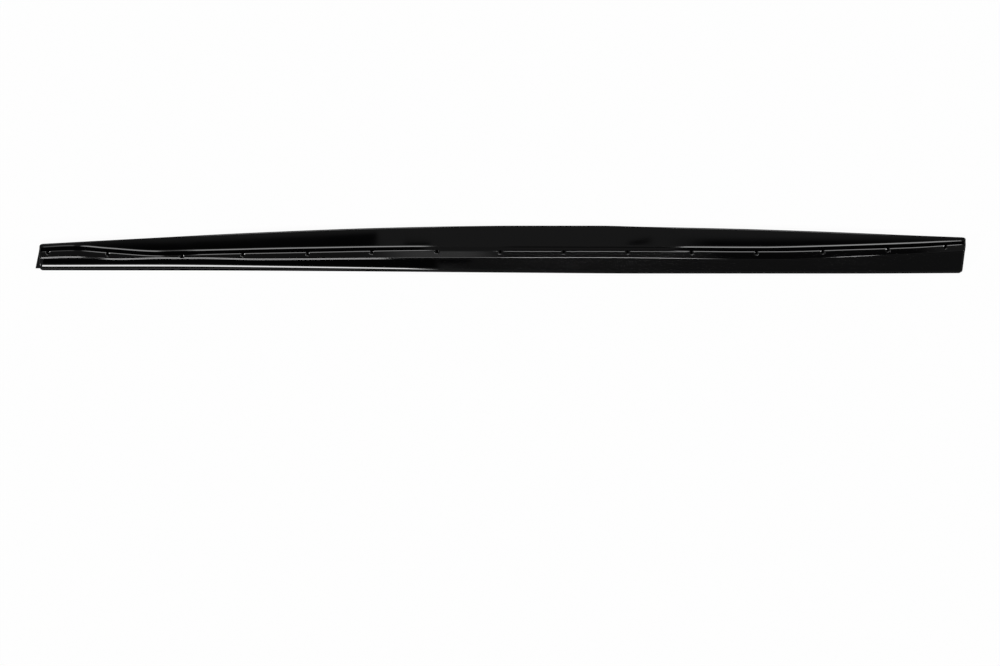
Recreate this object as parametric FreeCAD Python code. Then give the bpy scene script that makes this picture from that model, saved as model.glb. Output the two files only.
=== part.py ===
import FreeCAD, Part
import math
import os

# Car side skirt: a slim sill extension thermoformed as one piece from gloss black sheet.
# A raised screw land wanders between a wide outboard blade and an inboard flange,
# and every edge is rolled down to one flat rim that the part stands on.
# Frame: +X runs along the sill, +Y points outboard, +Z points up, in millimetres.

# Ends, along X
left_end_x = -941.0
right_end_x = 950.0
right_end_lean = 8.0  # how far the right end slopes back from its outboard to its inboard corner
lean_length = 120.0  # the sections turn into that slope over this length

# Sheet, and heights above the rim
sheet = 3.0
blade_height = 13.0  # at the foot of the screw land
land_height = 18.5  # at its crest
land_step = 1.2  # the flange starts this far below the back of the land
step_run = 1.6

# Slopes, in degrees
blade_slope = 3.5  # falls outboard
land_slope = 2.0  # falls inboard
flange_slope = 5.0  # falls inboard
lip_draft = 5.0  # from upright

# Bends, as radii of the outer face
lip_radius = 2.0
crest_radius = 4.5
back_radius = 2.5
step_radius = 2.0
end_radius = 6.0
least_radius = 0.4

# Lines seen from above, as (x, y) points that a smooth curve passes through
outboard_edge = [(-950, 11.2), (-740, 22.5), (-490, 35.4), (-250, 44.4), (-60, 48.2), (30, 49.0),
                 (200, 49.0), (285, 47.0), (490, 42.5), (655, 37.1), (840, 29.3), (950, 25.0)]
inboard_edge = [(-950, -42.3), (-610, -42.7), (-330, -44.2), (60, -47.4), (285, -48.9), (715, -49.0),
                (950, -48.1)]
blade_foot = [(-950, 3.6), (-870, 8.0), (-800, 2.6), (-700, -3.6), (-610, -1.9), (-410, 2.7), (-155, 5.9),
              (390, 4.5), (530, 4.1), (655, 6.8), (840, 13.2), (950, 17.8)]
land_crest = [(-950, -6.2), (-870, -3.0), (-800, -7.4), (-690, -14.0), (-610, -11.0), (-410, -7.0),
              (-120, -2.4), (40, -3.3), (290, -3.4), (490, -5.3), (570, -5.2), (715, -1.2), (840, 3.0),
              (950, 10.2)]
land_back = [(-950, -17.6), (-870, -15.1), (-780, -19.4), (-690, -17.3), (-610, -17.4), (-490, -19.7),
             (-155, -17.6), (200, -17.8), (570, -21.2), (715, -15.5), (840, -9.6), (950, -3.4)]

# Radii that change along the part, as (x, radius) points
foot_radius = [(-950, 9.0), (950, 9.0)]
shoulder_radius = [(-950, 13.0), (-700, 14.0), (-450, 11.5), (-180, 8.0), (0, 4.0), (300, 3.0), (950, 3.0)]

# Screw holes: pilot holes in shallow cones, set back from the crest of the land
screw_x = [-921, -799, -648, -524, -392, -261, -129, 0, 129, 259, 389, 521, 656, 789, 906]
screw_setback = 2.0
screw_hole = 5.0
cone_mouth = 10.0
cone_angle = 120.0

# Flat tab that the trimmed sheet leaves outside the foot of the left end
tab_reach = 9.0  # at its inboard corner
tab_setback = 4.0  # from the inboard edge

# How the form is divided for building
station_pitch = 50.0
clear = 5.0  # cutting tools run this far past the faces that they cut
cone_clear = 0.2  # but a cone runs only this far above the land


def along(line, x):
    """The y at x of a smooth curve through a line's points, which never swings past them.

    Beyond its first and last points the curve runs on straight.
    """
    slopes = [(q[1] - p[1]) / (q[0] - p[0]) for p, q in zip(line, line[1:])]

    def slope_at(i):
        before, after = slopes[max(i - 1, 0)], slopes[min(i, len(slopes) - 1)]
        return 2 * before * after / (before + after) if before * after > 0 else 0.0

    for end, slope, outside in ((line[0], slopes[0], x < line[0][0]),
                                (line[-1], slopes[-1], x > line[-1][0])):
        if outside:
            return end[1] + slope * (x - end[0])
    span = max(i for i in range(len(slopes)) if line[i][0] <= x)
    (x0, y0), (x1, y1) = line[span], line[span + 1]
    width = x1 - x0
    t = (x - x0) / width
    rise = t * t * (3 - 2 * t)
    start_slope = t * (1 - t) ** 2 * width * slope_at(span)
    end_slope = t * t * (t - 1) * width * slope_at(span + 1)
    return y0 + rise * (y1 - y0) + start_slope + end_slope


def section_corners(x):
    """Corners (y, z) of the outer face at station x, outboard to inboard, and the radii of its bends."""
    draft, blade_fall, land_fall, flange_fall = [
        math.tan(math.radians(angle)) for angle in (lip_draft, blade_slope, land_slope, flange_slope)]
    outboard, inboard = along(outboard_edge, x), along(inboard_edge, x)
    foot, crest, back = along(blade_foot, x), along(land_crest, x), along(land_back, x)
    back_height = land_height - land_fall * (crest - back)
    edge_height = (blade_height - blade_fall * (outboard - foot)) / (1 - blade_fall * draft)
    shoulder_fall = flange_fall * (back - step_run - inboard)
    shoulder_height = (back_height - land_step - shoulder_fall) / (1 - flange_fall * draft)
    corners = [
        (outboard, 0),
        (outboard - draft * edge_height, edge_height),
        (foot, blade_height),
        (crest, land_height),
        (back, back_height),
        (back - step_run, back_height - land_step),
        (inboard + draft * shoulder_height, shoulder_height),
        (inboard, 0),
    ]
    radii = [0, lip_radius, along(foot_radius, x), crest_radius, back_radius, step_radius,
             along(shoulder_radius, x), 0]
    return corners, radii


def meet(p, u, q, v):
    """Where the line through p along u meets the line through q along v."""
    reach = ((q[0] - p[0]) * v[1] - (q[1] - p[1]) * v[0]) / (u[0] * v[1] - u[1] * v[0])
    return p[0] + reach * u[0], p[1] + reach * u[1]


def lean(station):
    """How far a section at this station turns back for each millimetre inboard."""
    width = along(outboard_edge, right_end_x) - along(inboard_edge, right_end_x)
    t = min(max((station - right_end_x + lean_length) / lean_length, 0), 1)
    return right_end_lean / width * t * t * (3 - 2 * t)


def section_poles(station, inset, bottom):
    """Control points of one section in its place: a lip end, then three points for each bend, then a lip end.

    The three points of a bend are its start, its corner and its end. The section lies inside the outer
    face by the inset. Where two bends need more than the flat between them, both shrink.
    """
    corners, radii = section_corners(station)
    flats = []
    for p, q in zip(corners, corners[1:]):
        length = math.dist(p, q)
        u = ((q[0] - p[0]) / length, (q[1] - p[1]) / length)
        flats.append(((p[0] - inset * u[1], p[1] + inset * u[0]), u))
    floor = ((0, bottom), (1, 0))
    bounded = [floor] + flats + [floor]
    corners = [meet(p, u, q, v) for (p, u), (q, v) in zip(bounded, bounded[1:])]

    reaches = [0]
    for (_, u), (_, v), radius in zip(flats, flats[1:], radii[1:]):
        turn = math.atan2(u[0] * v[1] - u[1] * v[0], u[0] * v[0] + u[1] * v[1])
        radius = max(radius - inset, least_radius) if turn > 0 else radius + inset
        reaches.append(radius * math.tan(abs(turn) / 2))
    reaches.append(0)
    shares = [min(1, 0.96 * math.dist(p, q) / (a + b))
              for p, q, a, b in zip(corners, corners[1:], reaches, reaches[1:])]

    poles = [corners[0]]
    for i in range(1, len(corners) - 1):
        reach = reaches[i] * min(shares[i - 1], shares[i])
        (y, z), u, v = corners[i], flats[i - 1][1], flats[i][1]
        poles += [(y - reach * u[0], z - reach * u[1]), (y, z), (y + reach * v[0], z + reach * v[1])]
    poles.append(corners[-1])

    pivot = along(outboard_edge, right_end_x) - end_radius
    return [FreeCAD.Vector(station + lean(station) * (y - pivot), y, z) for y, z in poles]


def bend_weight(start, corner, end):
    """The weight that makes a circular arc of a bend's three control points."""
    return math.cos((corner - start).getAngle(end - corner) / 2)


def strips(curves):
    """Faces between curves that run along the form: a ruled strip for a flat, an arc strip for a bend."""
    faces = [Part.makeRuledSurface(curves[i].toShape(), curves[i + 1].toShape())
             for i in range(0, len(curves), 3)]
    for i in range(1, len(curves) - 1, 3):
        rows = [curve.getPoles() for curve in curves[i:i + 3]]
        along_x = curves[i].getWeights()
        across = [w * bend_weight(*triple) for w, triple in zip(along_x, zip(*rows))]
        surface = Part.BSplineSurface()
        surface.buildFromPolesMultsKnots(
            rows, [3, 3], curves[i].getMultiplicities(), [0, 1], curves[i].getKnots(),
            False, False, 2, curves[i].Degree, [along_x, across, along_x])
        faces.append(surface.toShape())
    return faces


def end_face(poles):
    """The flat face that closes the form on its last section."""
    edges = [Part.makeLine(poles[i], poles[i + 1]) for i in range(0, len(poles), 3)]
    for i in range(1, len(poles) - 1, 3):
        arc = Part.BSplineCurve()
        bend = poles[i:i + 3]
        arc.buildFromPolesMultsKnots(bend, [3, 3], [0, 1], False, 2, [1, bend_weight(*bend), 1])
        edges.append(arc.toShape())
    edges.append(Part.makeLine(poles[-1], poles[0]))
    return Part.Face(Part.Wire(Part.sortEdges(edges)[0]))


def lump(inset, bottom):
    """The solid that fills the skirt's form down to the bottom height, inside the outer face by the inset."""
    start, end = left_end_x + end_radius, right_end_x - end_radius
    count = math.ceil((end - start) / station_pitch)
    stations = [start + (end - start) * i / count for i in range(count + 1)]
    rows = zip(*[section_poles(x, inset, bottom) for x in stations])
    body = []
    for row in rows:
        curve = Part.BSplineCurve()
        curve.interpolate(Points=list(row), Parameters=[x - start for x in stations])
        body.append(curve)
    faces, rims = strips(body), [body[0], body[-1]]

    roll = end_radius - inset
    for edge, outward in ((start, -1), (end, 1)):
        beyond = edge + outward * roll
        columns = [section_poles(edge, inset, bottom), section_poles(beyond, inset, bottom),
                   section_poles(beyond, inset + roll, bottom)]
        cap = []
        for three in zip(*columns):
            curve = Part.BSplineCurve()
            curve.buildFromPolesMultsKnots(list(three), [3, 3], [0, 1], False, 2, [1, math.sqrt(0.5), 1])
            cap.append(curve)
        faces += strips(cap) + [end_face(columns[2])]
        rims += [cap[0], cap[-1], Part.LineSegment(columns[2][-1], columns[2][0])]

    outline = Part.sortEdges([curve.toShape() for curve in rims])[0]
    faces.append(Part.Face(Part.Wire(outline)))
    shell = Part.makeShell(faces)
    shell.sewShape()
    solid = Part.makeSolid(shell)
    if solid.Volume < 0:
        solid.reverse()
    return solid


def screw_tool(x):
    """What one screw hole removes: a cylinder under a cone whose mouth lies in the land's surface."""
    slope = math.tan(math.radians(cone_angle / 2))
    hole, mouth = screw_hole / 2, cone_mouth / 2
    depth = (mouth - hole) / slope
    land = land_height - screw_setback * math.tan(math.radians(land_slope))
    foot = FreeCAD.Vector(x, along(land_crest, x) - screw_setback, land - depth)
    cone = Part.makeCone(hole, mouth + cone_clear * slope, depth + cone_clear, foot)
    drill = Part.makeCylinder(hole, sheet + clear, foot, FreeCAD.Vector(0, 0, -1))
    return cone.fuse(drill)


def end_tab():
    """The flat three-cornered tab, which widens from nothing at the end's outboard corner."""
    root_x = left_end_x + sheet / 2
    outboard = along(outboard_edge, left_end_x + end_radius) - end_radius
    inboard = along(inboard_edge, left_end_x) + tab_setback
    outline = [(root_x, outboard), (left_end_x, outboard), (left_end_x - tab_reach, inboard),
               (root_x, inboard), (root_x, outboard)]
    face = Part.Face(Part.makePolygon([FreeCAD.Vector(x, y, 0) for x, y in outline]))
    return face.extrude(FreeCAD.Vector(0, 0, sheet))


def skirt():
    """One sheet: the form less the form inside it, with the end tab, and drilled for its screws."""
    shell = lump(0, 0).cut(lump(sheet, -clear))
    shell = shell.fuse(end_tab()).removeSplitter()
    return shell.cut([screw_tool(x) for x in screw_x]).Solids[0]


os.makedirs("parts", exist_ok=True)
skirt().exportStep("parts/side_skirt.step")
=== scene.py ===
import math

import bmesh
import bpy
from mathutils import Matrix, Vector


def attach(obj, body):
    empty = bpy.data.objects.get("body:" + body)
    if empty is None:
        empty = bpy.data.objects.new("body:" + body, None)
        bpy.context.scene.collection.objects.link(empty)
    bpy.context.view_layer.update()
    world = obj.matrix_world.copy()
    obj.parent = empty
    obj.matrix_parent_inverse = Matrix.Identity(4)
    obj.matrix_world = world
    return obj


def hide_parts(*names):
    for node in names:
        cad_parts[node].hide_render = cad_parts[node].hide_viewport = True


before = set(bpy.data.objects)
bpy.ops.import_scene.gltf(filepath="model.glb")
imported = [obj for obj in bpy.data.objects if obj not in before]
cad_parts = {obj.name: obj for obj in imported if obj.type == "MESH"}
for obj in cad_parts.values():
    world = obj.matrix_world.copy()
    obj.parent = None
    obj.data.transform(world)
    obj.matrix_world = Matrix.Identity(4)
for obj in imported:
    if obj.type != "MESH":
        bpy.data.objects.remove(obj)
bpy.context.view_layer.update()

# One formed sheet of gloss black plastic, seen from straight above on a white floor.
# Sizes are in millimetres, and MM turns them into the metres of the scene.
MM = 0.001

# Ends, along X
left_end_x = -941.0
right_end_x = 950.0
right_end_lean = 8.0
lean_length = 120.0

# Sheet, and heights above the rim
sheet = 3.0
blade_height = 13.0
land_height = 18.5
land_step = 1.2
step_run = 1.6

# Slopes, in degrees
blade_slope = 3.5
land_slope = 2.0
flange_slope = 5.0
lip_draft = 5.0

# Bends, as radii of the outer face
lip_radius = 2.0
crest_radius = 4.5
back_radius = 2.5
step_radius = 2.0
end_radius = 6.0
least_radius = 0.4
bend_share = 0.96  # two bends take at most this share of the flat between them

# Lines seen from above, as (x, y) points that a smooth curve passes through
outboard_edge = [(-950, 11.2), (-740, 22.5), (-490, 35.4), (-250, 44.4), (-60, 48.2), (30, 49.0),
                 (200, 49.0), (285, 47.0), (490, 42.5), (655, 37.1), (840, 29.3), (950, 25.0)]
inboard_edge = [(-950, -42.3), (-610, -42.7), (-330, -44.2), (60, -47.4), (285, -48.9), (715, -49.0),
                (950, -48.1)]
blade_foot = [(-950, 3.6), (-870, 8.0), (-800, 2.6), (-700, -3.6), (-610, -1.9), (-410, 2.7), (-155, 5.9),
              (390, 4.5), (530, 4.1), (655, 6.8), (840, 13.2), (950, 17.8)]
land_crest = [(-950, -6.2), (-870, -3.0), (-800, -7.4), (-690, -14.0), (-610, -11.0), (-410, -7.0),
              (-120, -2.4), (40, -3.3), (290, -3.4), (490, -5.3), (570, -5.2), (715, -1.2), (840, 3.0),
              (950, 10.2)]
land_back = [(-950, -17.6), (-870, -15.1), (-780, -19.4), (-690, -17.3), (-610, -17.4), (-490, -19.7),
             (-155, -17.6), (200, -17.8), (570, -21.2), (715, -15.5), (840, -9.6), (950, -3.4)]
foot_radius = [(-950, 9.0), (950, 9.0)]
shoulder_radius = [(-950, 13.0), (-700, 14.0), (-450, 11.5), (-180, 8.0), (0, 4.0), (300, 3.0), (950, 3.0)]

# Screw holes
screw_x = [-921, -799, -648, -524, -392, -261, -129, 0, 129, 259, 389, 521, 656, 789, 906]
screw_setback = 2.0
screw_hole = 5.0
cone_mouth = 10.0
cone_slope = 30.0
mouth_round = 3.5  # radius of the eased edge between the cone and the land
mouth_ease = 2.0  # slope at which that edge runs out, in degrees
mouth_margin = 1.0  # the cutter runs this far past it
drill_clear = 3.0  # and this far past both faces of the sheet

# End tab
tab_reach = 9.0
tab_setback = 4.0
tab_cove = 2.0
cove_share = 0.8  # the cove takes at most this share of the tab's reach
tab_tip = 0.01  # share of its reach that the tab starts with at its narrow corner

# Mesh
station_pitch = 5.0
cap_columns = 8
flat_shares = (0.04, 0.5, 0.96, 1)  # rows across a flat, the outer ones close to its bends
face_bend_cells = 8
back_bend_cells = 4
tab_steps = 12
cove_cells = 5
drill_turns = 48
mouth_cells = 6
sharp_angle = 18  # edges that turn more than this, in degrees, are shaded sharp


def along(line, x):
    """The y at x of a smooth curve through a line's points, which never swings past them."""
    slopes = [(q[1] - p[1]) / (q[0] - p[0]) for p, q in zip(line, line[1:])]

    def slope_at(i):
        before, after = slopes[max(i - 1, 0)], slopes[min(i, len(slopes) - 1)]
        return 2 * before * after / (before + after) if before * after > 0 else 0.0

    span = max([i for i in range(len(slopes)) if line[i][0] <= x] or [0])
    (x0, y0), (x1, y1) = line[span], line[span + 1]
    width = x1 - x0
    t = (x - x0) / width
    rise = t * t * (3 - 2 * t)
    start_slope = t * (1 - t) ** 2 * width * slope_at(span)
    end_slope = t * t * (t - 1) * width * slope_at(span + 1)
    return y0 + rise * (y1 - y0) + start_slope + end_slope


def section_corners(x):
    """Corners (y, z) of the outer face at station x, outboard to inboard, and the radii of its bends."""
    draft, blade_fall, land_fall, flange_fall = [
        math.tan(math.radians(angle)) for angle in (lip_draft, blade_slope, land_slope, flange_slope)]
    outboard, inboard = along(outboard_edge, x), along(inboard_edge, x)
    foot, crest, back = along(blade_foot, x), along(land_crest, x), along(land_back, x)
    back_height = land_height - land_fall * (crest - back)
    edge_height = (blade_height - blade_fall * (outboard - foot)) / (1 - blade_fall * draft)
    shoulder_fall = flange_fall * (back - step_run - inboard)
    shoulder_height = (back_height - land_step - shoulder_fall) / (1 - flange_fall * draft)
    corners = [
        (outboard, 0),
        (outboard - draft * edge_height, edge_height),
        (foot, blade_height),
        (crest, land_height),
        (back, back_height),
        (back - step_run, back_height - land_step),
        (inboard + draft * shoulder_height, shoulder_height),
        (inboard, 0),
    ]
    radii = [0, lip_radius, along(foot_radius, x), crest_radius, back_radius, step_radius,
             along(shoulder_radius, x), 0]
    return corners, radii


def meet(p, u, q, v):
    """Where the line through p along u meets the line through q along v."""
    reach = ((q[0] - p[0]) * v[1] - (q[1] - p[1]) * v[0]) / (u[0] * v[1] - u[1] * v[0])
    return p[0] + reach * u[0], p[1] + reach * u[1]


def lean(station):
    """How far a section at this station turns back for each millimetre inboard."""
    width = along(outboard_edge, right_end_x) - along(inboard_edge, right_end_x)
    t = min(max((station - right_end_x + lean_length) / lean_length, 0), 1)
    return right_end_lean / width * t * t * (3 - 2 * t)


def section_poles(station, inset):
    """Control points of one section: a lip end, then start, corner and end of each bend, then a lip end."""
    corners, radii = section_corners(station)
    flats = []
    for p, q in zip(corners, corners[1:]):
        length = math.dist(p, q)
        u = ((q[0] - p[0]) / length, (q[1] - p[1]) / length)
        flats.append(((p[0] - inset * u[1], p[1] + inset * u[0]), u))
    floor = ((0, 0), (1, 0))
    bounded = [floor] + flats + [floor]
    corners = [meet(p, u, q, v) for (p, u), (q, v) in zip(bounded, bounded[1:])]

    reaches = [0]
    for (_, u), (_, v), radius in zip(flats, flats[1:], radii[1:]):
        turn = math.atan2(u[0] * v[1] - u[1] * v[0], u[0] * v[0] + u[1] * v[1])
        radius = max(radius - inset, least_radius) if turn > 0 else radius + inset
        reaches.append(radius * math.tan(abs(turn) / 2))
    reaches.append(0)
    shares = [min(1, bend_share * math.dist(p, q) / (a + b))
              for p, q, a, b in zip(corners, corners[1:], reaches, reaches[1:])]

    poles = [corners[0]]
    for i in range(1, len(corners) - 1):
        reach = reaches[i] * min(shares[i - 1], shares[i])
        (y, z), u, v = corners[i], flats[i - 1][1], flats[i][1]
        poles += [(y - reach * u[0], z - reach * u[1]), (y, z), (y + reach * v[0], z + reach * v[1])]
    poles.append(corners[-1])
    pivot = along(outboard_edge, right_end_x) - end_radius
    return [Vector((station + lean(station) * (y - pivot), y, z)) for y, z in poles]


def arc_point(start, corner, end, weight, t):
    """A point on the round curve that leaves start towards corner and comes from corner into end."""
    a, b, c = (1 - t) ** 2, 2 * t * (1 - t) * weight, t * t
    return (a * start + b * corner + c * end) / (a + b + c)


def section_points(poles, bend_cells):
    """Points across a section, with so many cells to each bend."""
    points = [poles[0]]
    for i in range(0, len(poles), 3):
        start, end = poles[i], poles[i + 1]
        points += [start.lerp(end, share) for share in flat_shares]
        if i + 3 < len(poles):
            bend = poles[i + 1:i + 4]
            weight = math.cos((bend[1] - bend[0]).angle(bend[2] - bend[1]) / 2)
            points += [arc_point(*bend, weight, (k + 1) / bend_cells) for k in range(bend_cells)]
    return points


def skin_sections(inset):
    """The pole lists of one side of the sheet, end to end, with its edges rolled down at both ends."""
    start, end = left_end_x + end_radius, right_end_x - end_radius
    count = math.ceil((end - start) / station_pitch)
    body = [section_poles(start + (end - start) * i / count, inset) for i in range(count + 1)]
    roll = end_radius - inset
    caps = []
    for edge, outward in ((start, -1), (end, 1)):
        beyond = edge + outward * roll
        columns = [section_poles(edge, inset), section_poles(beyond, inset),
                   section_poles(beyond, inset + roll)]
        caps.append([[arc_point(*three, math.sqrt(0.5), (k + 1) / cap_columns) for three in zip(*columns)]
                     for k in range(cap_columns)])
    return caps[0][::-1] + body + caps[1]


def new_object(name, bm):
    """An object of its own from a bmesh, in metres."""
    bmesh.ops.scale(bm, vec=(MM, MM, MM), verts=bm.verts)
    bmesh.ops.recalc_face_normals(bm, faces=bm.faces)
    mesh = bpy.data.meshes.new(name)
    bm.to_mesh(mesh)
    bm.free()
    obj = bpy.data.objects.new(name, mesh)
    bpy.context.collection.objects.link(obj)
    return obj


def sheet_object():
    """The formed sheet: its face, its back, the walls of its ends and the trimmed rim between them."""
    bm = bmesh.new()
    sides = []
    for inset, cells, finish in ((0, face_bend_cells, 0), (sheet, back_bend_cells, 1)):
        grid = [[bm.verts.new(p) for p in section_points(poles, cells)] for poles in skin_sections(inset)]
        for left, right in zip(grid, grid[1:]):
            for j in range(len(left) - 1):
                bm.faces.new((left[j], left[j + 1], right[j + 1], right[j])).material_index = finish
        for column in (grid[0], grid[-1]):
            bm.faces.new(column).material_index = finish
        sides.append(grid)
    outer, inner = sides
    for j in (0, -1):
        for k in range(len(outer) - 1):
            rim = (outer[k][j], outer[k + 1][j], inner[k + 1][j], inner[k][j])
            bm.faces.new(rim).material_index = 2
    for k in (0, -1):
        rim = (outer[k][0], outer[k][-1], inner[k][-1], inner[k][0])
        bm.faces.new(rim).material_index = 2
    return new_object("side_skirt_sheet", bm)


def tab_object():
    """The three-cornered tab at the foot of the left end, with a cove where it turns out of the wall."""
    outboard = along(outboard_edge, left_end_x + end_radius) - end_radius
    inboard = along(inboard_edge, left_end_x) + tab_setback
    root_x = left_end_x + sheet / 2
    bm = bmesh.new()
    rings = []
    for k in range(tab_steps + 1):
        t = k / tab_steps
        share = t * t + tab_tip * (1 - t)
        y = outboard + (inboard - outboard) * share
        reach = tab_reach * share
        cove = min(tab_cove, cove_share * reach)
        profile = [(root_x, 0), (left_end_x - reach, 0), (left_end_x - reach, sheet),
                   (left_end_x - cove, sheet)]
        for m in range(1, cove_cells + 1):
            a = math.pi / 2 * m / cove_cells
            profile.append((left_end_x - cove + cove * math.sin(a), sheet + cove * (1 - math.cos(a))))
        profile.append((root_x, sheet + cove))
        rings.append([bm.verts.new((x, y, z)) for x, z in profile])
    for one, two in zip(rings, rings[1:]):
        for j in range(len(one)):
            n = (j + 1) % len(one)
            bm.faces.new((one[j], one[n], two[n], two[j]))
    bm.faces.new(rings[0])
    bm.faces.new(rings[-1])
    return new_object("tab_cutter", bm)


def drill_object():
    """All the screw holes' cutters in one mesh: a drill under a cone whose mouth eases into the land."""
    slope = math.radians(cone_slope)
    hole, mouth = screw_hole / 2, cone_mouth / 2
    depth = (mouth - hole) * math.tan(slope)
    ease = math.radians(mouth_ease)
    bottom, top = -sheet - drill_clear, drill_clear
    profile = [(hole, bottom), (hole, -depth)]
    reach = mouth_round * (math.sin(slope) - math.sin(ease))
    start = mouth - reach / 2
    rise = -(mouth - start) * math.tan(slope)
    for k in range(mouth_cells + 1):
        a = slope + (ease - slope) * k / mouth_cells
        profile.append((start + mouth_round * (math.sin(slope) - math.sin(a)),
                        rise + mouth_round * (math.cos(a) - math.cos(slope))))
    rim, height = profile[-1]
    rim += mouth_margin
    profile += [(rim, height + mouth_margin * math.tan(ease)), (rim, top)]
    land = land_height - screw_setback * math.tan(math.radians(land_slope))
    tilt = Matrix.Rotation(math.radians(land_slope), 3, "X")
    angles = [2 * math.pi * k / drill_turns for k in range(drill_turns)]
    bm = bmesh.new()
    for x in screw_x:
        centre = Vector((x, along(land_crest, x) - screw_setback, land))
        rings = [[bm.verts.new(centre + tilt @ Vector((r * math.cos(a), r * math.sin(a), z)))
                  for a in angles] for r, z in profile]
        for one, two in zip(rings, rings[1:]):
            for k in range(drill_turns):
                n = (k + 1) % drill_turns
                bm.faces.new((one[k], one[n], two[n], two[k]))
        bm.faces.new(rings[0])
        bm.faces.new(rings[-1])
    return new_object("drill_cutter", bm)


def combine(obj, tool, operation):
    """Adds or cuts the tool, and deletes it."""
    modifier = obj.modifiers.new(operation.lower(), "BOOLEAN")
    modifier.operation = operation
    modifier.solver = "EXACT"
    modifier.object = tool
    bpy.context.view_layer.objects.active = obj
    bpy.ops.object.modifier_apply(modifier=modifier.name)
    bpy.data.objects.remove(tool)


plastic_ior = 1.5


def new_material(name):
    """A material, its nodes, its links and its shader."""
    mat = bpy.data.materials.new(name)
    mat.use_nodes = True
    nodes, links = mat.node_tree.nodes, mat.node_tree.links
    return mat, nodes, links, nodes["Principled BSDF"]


def noise(nodes, links, place, size, detail, stretch=(1, 1, 1)):
    """Noise with features of about this size in millimetres."""
    mapping = nodes.new("ShaderNodeMapping")
    mapping.inputs["Scale"].default_value = [1 / k for k in stretch]
    links.new(place, mapping.inputs["Vector"])
    texture = nodes.new("ShaderNodeTexNoise")
    texture.inputs["Scale"].default_value = 1 / (size * MM)
    texture.inputs["Detail"].default_value = detail
    links.new(mapping.outputs["Vector"], texture.inputs["Vector"])
    return texture.outputs["Fac"]


def map_to(nodes, links, value, low, high, start=0.0, stop=1.0):
    """A value spread from start and stop onto low and high."""
    node = nodes.new("ShaderNodeMapRange")
    node.inputs["From Min"].default_value = start
    node.inputs["From Max"].default_value = stop
    node.inputs["To Min"].default_value = low
    node.inputs["To Max"].default_value = high
    links.new(value, node.inputs["Value"])
    return node.outputs["Result"]


def add_bump(nodes, links, shader, heights):
    """Bumps on the shader, one for each (height, depth in millimetres)."""
    normal = None
    for height, depth in heights:
        bump = nodes.new("ShaderNodeBump")
        bump.inputs["Strength"].default_value = 1.0
        bump.inputs["Distance"].default_value = depth * MM
        links.new(height, bump.inputs["Height"])
        if normal:
            links.new(normal, bump.inputs["Normal"])
        normal = bump.outputs["Normal"]
    links.new(normal, shader.inputs["Normal"])


def add_tint(nodes, links, shader, mask, dark, pale):
    """The shader's colour, which a mask varies from a dark to a paler one."""
    tint = nodes.new("ShaderNodeMix")
    tint.data_type = "RGBA"
    tint.inputs["A"].default_value = (*dark, 1)
    tint.inputs["B"].default_value = (*pale, 1)
    links.new(mask, tint.inputs["Factor"])
    links.new(tint.outputs["Result"], shader.inputs["Base Color"])


def gloss_face():
    """Gloss black as formed: faint orange peel, a long wave from the mould, and a little handling haze."""
    mat, nodes, links, shader = new_material("gloss_face")
    place = nodes.new("ShaderNodeTexCoord").outputs["Object"]
    shader.inputs["IOR"].default_value = plastic_ior
    cloud = noise(nodes, links, place, 90, 3, (4, 1, 1))
    add_tint(nodes, links, shader, cloud, (0.0006, 0.0006, 0.0007), (0.0012, 0.0012, 0.0013))
    haze = noise(nodes, links, place, 35, 4, (3, 1, 1))
    links.new(map_to(nodes, links, haze, 0.02, 0.035, 0.35, 0.75), shader.inputs["Roughness"])
    peel = noise(nodes, links, place, 2.5, 1)
    wave = noise(nodes, links, place, 120, 0, (2, 1, 1))
    add_bump(nodes, links, shader, [(peel, 0.0003), (wave, 0.015)])
    return mat


def matte_back():
    """The back of the sheet: satin, with the fine grain of the sheet's unpolished side."""
    mat, nodes, links, shader = new_material("matte_back")
    place = nodes.new("ShaderNodeTexCoord").outputs["Object"]
    shader.inputs["IOR"].default_value = plastic_ior
    cloud = noise(nodes, links, place, 60, 4)
    add_tint(nodes, links, shader, cloud, (0.010, 0.010, 0.011), (0.018, 0.018, 0.019))
    links.new(map_to(nodes, links, cloud, 0.42, 0.6), shader.inputs["Roughness"])
    grain = noise(nodes, links, place, 0.7, 2)
    add_bump(nodes, links, shader, [(grain, 0.03)])
    return mat


def trimmed_edge():
    """The trimmed rim: dull, with the fine scratches that the cutter leaves along it."""
    mat, nodes, links, shader = new_material("trimmed_edge")
    place = nodes.new("ShaderNodeTexCoord").outputs["Object"]
    shader.inputs["IOR"].default_value = plastic_ior
    scratch = noise(nodes, links, place, 0.6, 3, (20, 1, 1))
    add_tint(nodes, links, shader, scratch, (0.008, 0.008, 0.009), (0.028, 0.028, 0.029))
    links.new(map_to(nodes, links, scratch, 0.35, 0.6), shader.inputs["Roughness"])
    add_bump(nodes, links, shader, [(scratch, 0.05)])
    return mat


piece = sheet_object()
combine(piece, tab_object(), "UNION")
combine(piece, drill_object(), "DIFFERENCE")
for finish in (gloss_face(), matte_back(), trimmed_edge()):
    piece.data.materials.append(finish)
for polygon in piece.data.polygons:
    polygon.use_smooth = True
piece.data.set_sharp_from_angle(angle=math.radians(sharp_angle))
weighted = piece.modifiers.new("normals", "WEIGHTED_NORMAL")
weighted.keep_sharp = True
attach(piece, "root")
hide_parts("side_skirt")

# Camera: straight above, framed as the photograph is
picture_width = 1000
metres_per_pixel = 0.002045
camera_x = -0.0007
camera_y = -0.1705
camera_height = 4.2
sensor_width = 36
camera_data = bpy.data.cameras.new("camera")
camera = bpy.data.objects.new("camera", camera_data)
bpy.context.collection.objects.link(camera)
camera_data.sensor_width = sensor_width
camera_data.lens = sensor_width * camera_height / (picture_width * metres_per_pixel)
camera.location = (camera_x, camera_y, camera_height)
bpy.context.scene.camera = camera


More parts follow.
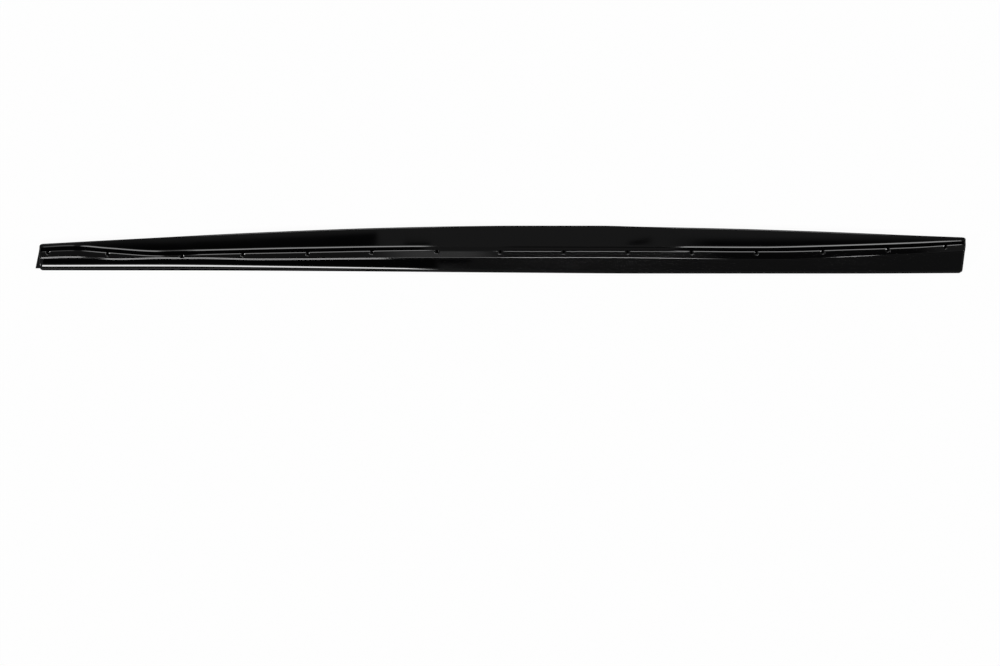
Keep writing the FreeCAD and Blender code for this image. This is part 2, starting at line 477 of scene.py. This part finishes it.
# The floor and the patches of painted shade on it, in metres: each lies a little below the part and clear
# of the next
floor_reach = 30
floor_height = -0.0005
shadow_flag_height = -0.0004
shade_height = -0.0003
shadow_flag_margin = 80  # how far the painted shadow reaches past the part, in millimetres
floor_glow = 0.95  # the share of the floor's look that is plain white, and the rest of it takes the shadow


def floor_patch(name, outline, height):
    """A flat piece of stage in the shape of an outline of (x, y) points in metres."""
    bm = bmesh.new()
    bm.faces.new([bm.verts.new((x, y, height)) for x, y in outline])
    mesh = bpy.data.meshes.new(name)
    bm.to_mesh(mesh)
    bm.free()
    obj = bpy.data.objects.new(name, mesh)
    bpy.context.collection.objects.link(obj)
    return obj


def around(margin):
    """The part's outline seen from above, widened by a margin in millimetres."""
    count = 40
    stations = [left_end_x + (right_end_x - left_end_x) * k / count for k in range(count + 1)]
    outer = [(x, along(outboard_edge, x) + margin) for x in stations]
    inner = [(x, along(inboard_edge, x) - margin) for x in reversed(stations)]
    ends = [(right_end_x + margin, outer[-1][1]), (right_end_x - right_end_lean + margin, inner[0][1]),
            (left_end_x - margin, inner[-1][1]), (left_end_x - margin, outer[0][1])]
    return [(x * MM, y * MM) for x, y in outer[:-1] + ends[:2] + inner[1:-1] + ends[2:]]


# Floor: white to the camera and in mirrors, with the part's shadow on it
floor_corners = [(-floor_reach, -floor_reach), (floor_reach, -floor_reach),
                 (floor_reach, floor_reach), (-floor_reach, floor_reach)]
floor = floor_patch("floor", floor_corners, floor_height)
mat, nodes, links, shader = new_material("floor")
floor.data.materials.append(mat)
shader.inputs["Base Color"].default_value = (0.8, 0.8, 0.8, 1)
shader.inputs["Roughness"].default_value = 0.8
path = nodes.new("ShaderNodeLightPath")
seen = path.outputs["Is Camera Ray"]
for kind in ("Is Glossy Ray", "Is Transmission Ray"):
    either = nodes.new("ShaderNodeMath")
    either.operation = "MAXIMUM"
    links.new(seen, either.inputs[0])
    links.new(path.outputs[kind], either.inputs[1])
    seen = either.outputs[0]
share = nodes.new("ShaderNodeMath")
share.operation = "MULTIPLY"
share.inputs[1].default_value = floor_glow
glow = nodes.new("ShaderNodeEmission")
glow.inputs["Strength"].default_value = 1.0
mix = nodes.new("ShaderNodeMixShader")
links.new(seen, share.inputs[0])
links.new(share.outputs[0], mix.inputs[0])
links.new(shader.outputs[0], mix.inputs[1])
links.new(glow.outputs[0], mix.inputs[2])
links.new(mix.outputs[0], nodes["Material Output"].inputs["Surface"])

# Painted shade: black patches stand in for the dark floor under the sheet and for the part's shadow round
# it
black, _, _, shader = new_material("painted_shade_black")
shader.inputs["Base Color"].default_value = (0.005, 0.005, 0.005, 1)
shader.inputs["Roughness"].default_value = 0.9
shader.inputs["Specular IOR Level"].default_value = 0.0
# Painted shade: a black patch inside the rim, seen through the screw holes, where the floor is in the dark
shade = floor_patch("floor_in_shade", around(-sheet / 2), shade_height)
shade.data.materials.append(black)
# Painted shadow: a black ring round the part, seen only in mirrors, darkens what its lips mirror
shadow_flag = floor_patch("painted_shadow_flag", around(shadow_flag_margin), shadow_flag_height)
shadow_flag.data.materials.append(black)
shadow_flag.visible_camera = False
shadow_flag.visible_diffuse = False
shadow_flag.visible_shadow = False

# The studio round the part, as patches of sky that its gloss mirrors. A place in it is given by its side
# angle, in degrees from straight up towards outboard, and by the X part of the direction to it.
# Each patch is a name, a brightness, a range of side angles, its softness, a range along X, its softness,
# and a skew, which is how many degrees the side angles shift for each unit along X.
# The sky has one plain brightness. Flags take away their share of it, and then lamps add to it.
plain = 0.19
lamps = [
    ("outboard_end", 1.3, (22, 48), 3, (-0.26, -0.2), 0.006, 0),
    ("outboard_left", 5.8, (22, 48), 3, (-0.165, -0.036), 0.004, 0),
    ("outboard_right", 6.5, (22, 48), 3, (0.0906, 0.194), 0.001, 0),
    ("crest_middle", 15, (0.5, 6.0), 0.3, (0.0, 0.0915), 0.004, 0),
    ("back_left", 8, (-6.8, -2.8), 0.2, (-0.05, -0.006), 0.004, 0),
    ("back_middle", 40, (-6.8, -2.8), 0.2, (0.0, 0.096), 0.016, 0),
    ("back_right", 38, (-6.8, -2.8), 0.2, (0.165, 0.183), 0.003, 0),
    ("inboard_left", 18.5, (-53, -27), 2, (-0.23, -0.05), 0.002, 0),
    ("land_middle", 0.45, (-2.4, -1.2), 0.1, (-0.05, -0.008), 0.012, 0),
    ("screws_right", 50, (-48, -34), 1.5, (0.865, 0.91), 0.008, 0),
    ("screws_left", 32, (-48, -31), 1.5, (-0.91, -0.825), 0.008, 0),
]
flags = [
    ("low_outboard_left", 1.0, (53, 75), 2, (-1, -0.04), 0.004, 0),
    ("low_outboard_middle", 0.2, (53, 75), 2, (-0.04, 0.093), 0.004, 0),
    ("low_outboard_right", 1.0, (53, 75), 2, (0.093, 1), 0.004, 0),
    ("crest_shade", 1.0, (38, 57), 1, (0.005, 0.0906), 0.004, 0),
    ("low_inboard", 1.0, (-75, -54), 2, (-1, 1), 0.1, 0),
    ("blade_left", 1.0, (8.5, 9.95), 0.07, (-0.4, -0.0611), 0.0008, 2.53),
    ("blade_left_foot", 1.0, (8.5, 9.52), 0.07, (-0.0475, -0.034), 0.0008, 0),
    ("blade_right", 1.0, (8.5, 9.62), 0.08, (0.092, 0.4), 0.014, 0),
    ("blade_mark", 1.0, (8.78, 8.92), 0.03, (0.0625, 0.0735), 0.002, 10),
    ("land_left", 0.4, (-2.4, -1.2), 0.1, (-0.4, -0.06), 0.01, 0),
    ("land_middle", 0.45, (-2.4, -1.2), 0.1, (-0.008, 0.098), 0.01, 0),
    ("land_right", 0.9, (-2.4, -1.2), 0.1, (0.098, 0.21), 0.01, 0),
    ("flange_left", 1.0, (-9.0, -7.2), 0.1, (-0.2195, -0.03), 0.002, 0),
    ("flange_upper", 1.0, (-8.08, -7.2), 0.04, (-0.03, -0.0146), 0.001, 0),
    ("flange", 0.5, (-9.0, -7.2), 0.1, (-0.022, 1), 0.01, 0),
]

world = bpy.data.worlds.new("studio")
world.use_nodes = True
bpy.context.scene.world = world
nodes, links = world.node_tree.nodes, world.node_tree.links
background = nodes["Background"]
background.inputs["Color"].default_value = (1, 1, 1, 1)


def calculate(operation, *values):
    """A Math node's result, from links and plain numbers."""
    node = nodes.new("ShaderNodeMath")
    node.operation = operation
    for socket, value in zip(node.inputs, values):
        if isinstance(value, (int, float)):
            socket.default_value = value
        else:
            links.new(value, socket)
    return node.outputs[0]


def soft_step(value, edge, softness):
    """0 below the edge, 1 above it, and a smooth change between."""
    node = nodes.new("ShaderNodeMapRange")
    node.interpolation_type = "SMOOTHSTEP"
    node.inputs["From Min"].default_value = edge - softness
    node.inputs["From Max"].default_value = edge + softness
    links.new(value, node.inputs["Value"])
    return node.outputs["Result"]


def patch(brightness, side_range, side_soft, along_range, along_soft, skew):
    """The brightness inside a patch and 0 outside it."""
    side = side_angle
    if skew:
        side = calculate("SUBTRACT", side_angle, calculate("MULTIPLY", sky.outputs["X"], skew))
    level = brightness
    for value, (start, stop), softness in ((side, side_range, side_soft),
                                           (sky.outputs["X"], along_range, along_soft)):
        level = calculate("MULTIPLY", level, soft_step(value, start, softness))
        level = calculate("MULTIPLY", level, calculate("SUBTRACT", 1, soft_step(value, stop, softness)))
    return level


sky = nodes.new("ShaderNodeSeparateXYZ")
links.new(nodes.new("ShaderNodeTexCoord").outputs["Generated"], sky.inputs[0])
side_angle = calculate("DEGREES", calculate("ARCTAN2", sky.outputs["Y"], sky.outputs["Z"]))
light = plain
for name, *area in flags:
    light = calculate("MULTIPLY", light, calculate("SUBTRACT", 1, patch(*area)))
for name, *area in lamps:
    light = calculate("ADD", light, patch(*area))
links.new(light, background.inputs["Strength"])

bpy.context.scene.view_settings.view_transform = "Standard"
